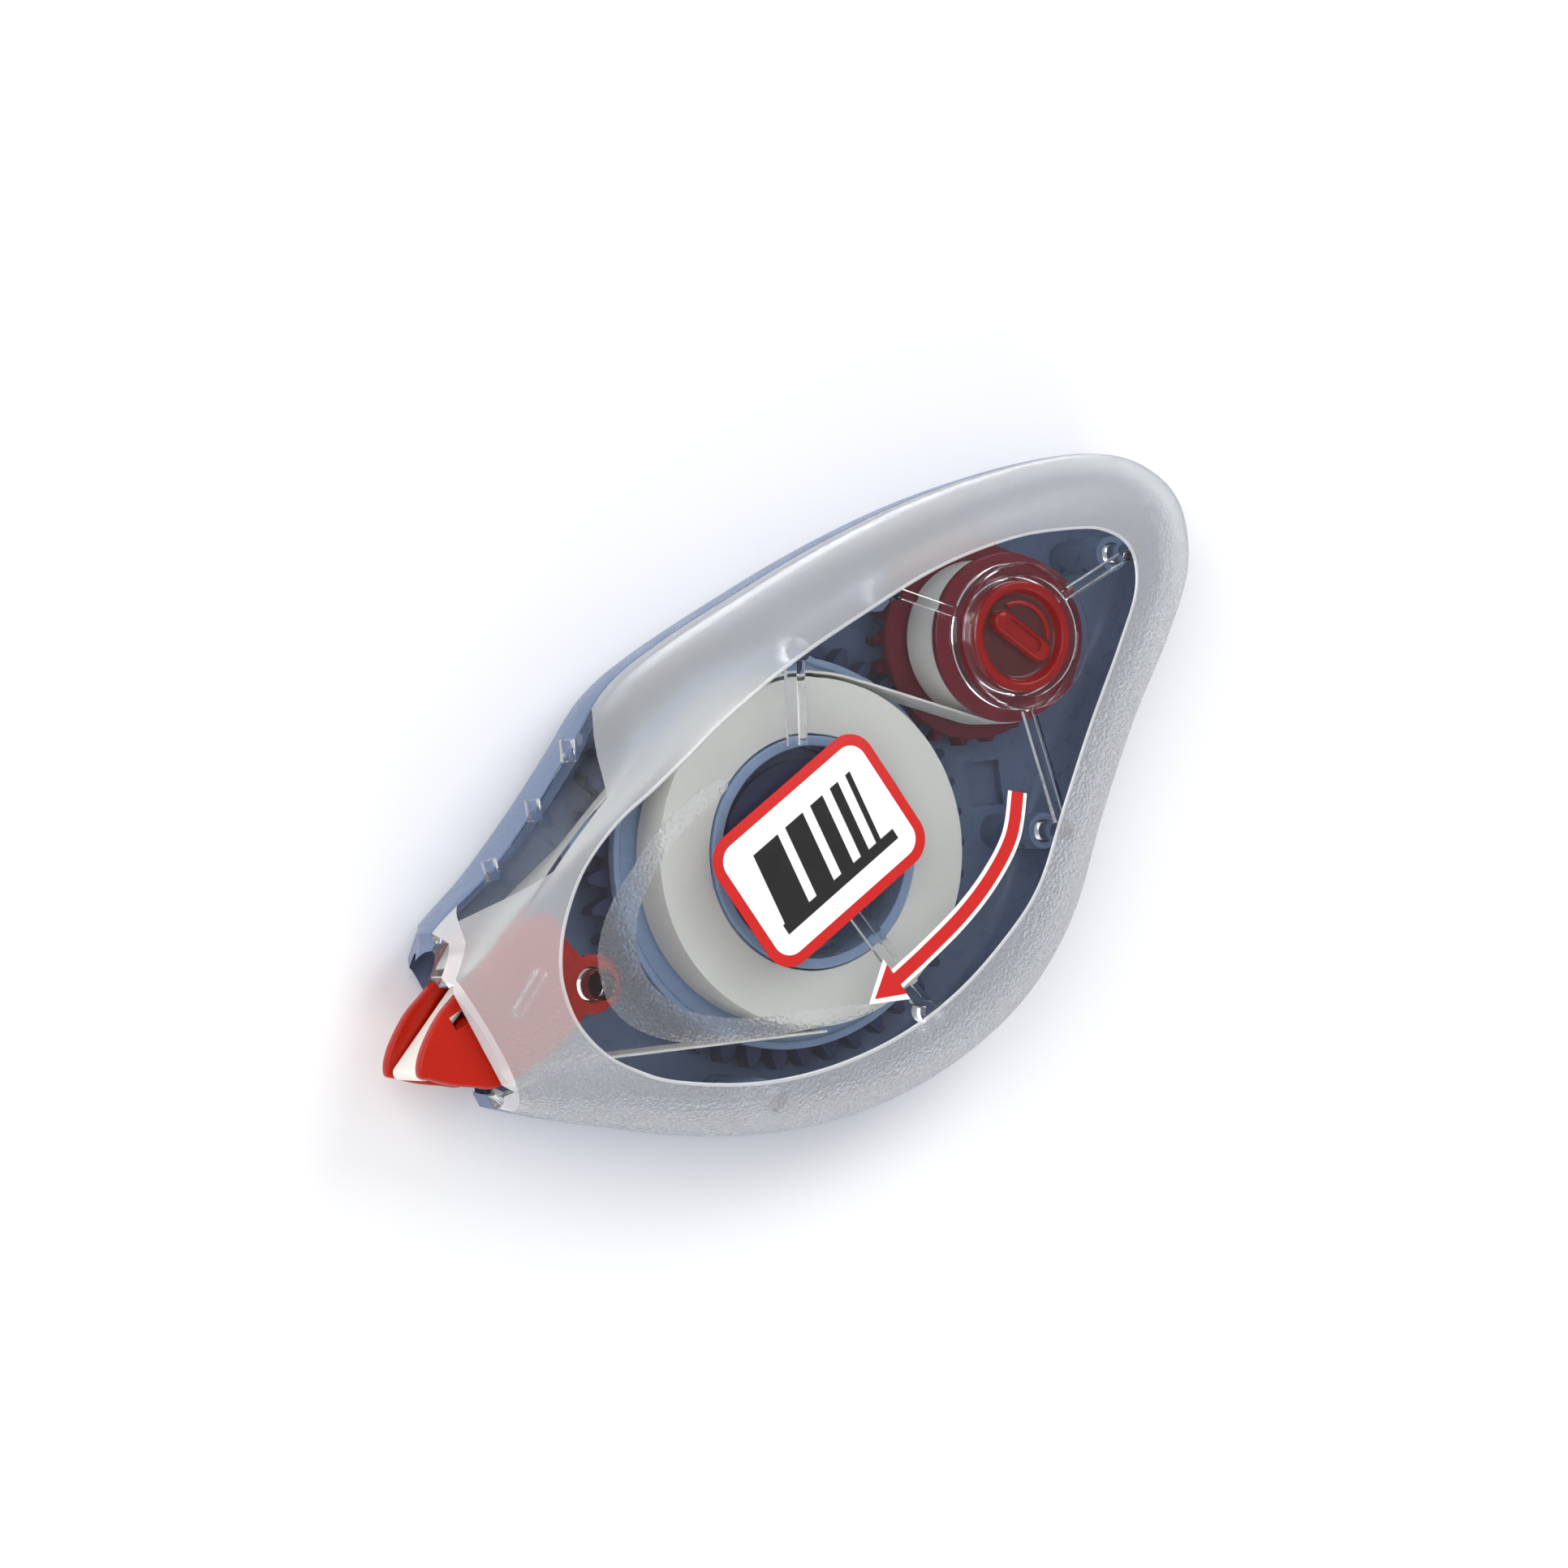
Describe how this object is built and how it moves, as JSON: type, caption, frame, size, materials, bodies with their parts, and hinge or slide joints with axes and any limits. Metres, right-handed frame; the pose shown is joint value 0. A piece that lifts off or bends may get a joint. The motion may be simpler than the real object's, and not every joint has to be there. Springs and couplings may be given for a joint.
{
  "type": "correction tape roller",
  "caption": "Flat teardrop correction tape roller: clear front shell, blue back shell, supply and take-up reels geared together, red tip that the tape runs around.",
  "frame": {"origin": "on the flat back face, on the axis of the supply reel", "axes": "+X along the roller from the tip to the rounded tail, +Y to the side with the finger scallop, +Z out of the back face through the clear window"},
  "size_m": [0.086, 0.0432, 0.0137],
  "materials": {
    "clear_cover": "clear polystyrene, polished window with a fine frosted border",
    "smoke_blue": "tinted smoke-blue polystyrene, satin gloss",
    "pale_blue": "moulded, satin",
    "navy": "moulded, satin",
    "red": "moulded, satin gloss",
    "maroon": "translucent dark red, glossy",
    "tape": "smooth coated film, matte",
    "clutch_rubber": "moulded, matte",
    "ink_red": "printed, satin",
    "ink_white": "printed, satin",
    "ink_black": "printed, satin"
  },
  "bodies": {
    "housing": {"back_shell": "smoke_blue", "front_cover": "clear_cover", "feed_web": "tape", "return_web": "tape", "label_border": "ink_red", "label_field": "ink_white", "label_emblem": "ink_black", "arrow_outline": "ink_white", "arrow_mark": "ink_red"},
    "supply_drive": {"supply_gear": "navy", "clutch_ring": "clutch_rubber", "core_retainer": "navy"},
    "supply_reel": {"supply_core": "pale_blue", "tape_pack": "tape"},
    "take_up_reel": {"take_up_gear": "maroon", "take_up_flange": "maroon", "take_up_tape": "tape", "tension_knob": "red"},
    "tip": {"tip_head": "red", "tip_tape": "tape"}
  },
  "joints": [
    {"name": "supply_gear_spin", "type": "hinge", "parent": "housing", "child": "supply_drive", "pos_m": [0, 0, 0.0028], "axis": [0, 0, 1], "continuous": true},
    {"name": "clutch_slip", "type": "hinge", "parent": "supply_drive", "child": "supply_reel", "pos_m": [0, 0, 0.006], "axis": [0, 0, 1], "continuous": true},
    {"name": "take_up_spin", "type": "hinge", "parent": "housing", "child": "take_up_reel", "pos_m": [0.02459, 0.00552, 0.0028], "axis": [0, 0, 1], "continuous": true},
    {"name": "tip_rock", "type": "hinge", "parent": "housing", "child": "tip", "pos_m": [-0.0233, 0.0021, 0.007], "axis": [0, 0, 1], "range_deg": [-2.5, 2.5], "stiffness_Nm_per_rad": 0.03}
  ],
  "couplings": [
    {"joint": "take_up_spin", "follows": "supply_gear_spin", "ratio": -2.15}
  ]
}
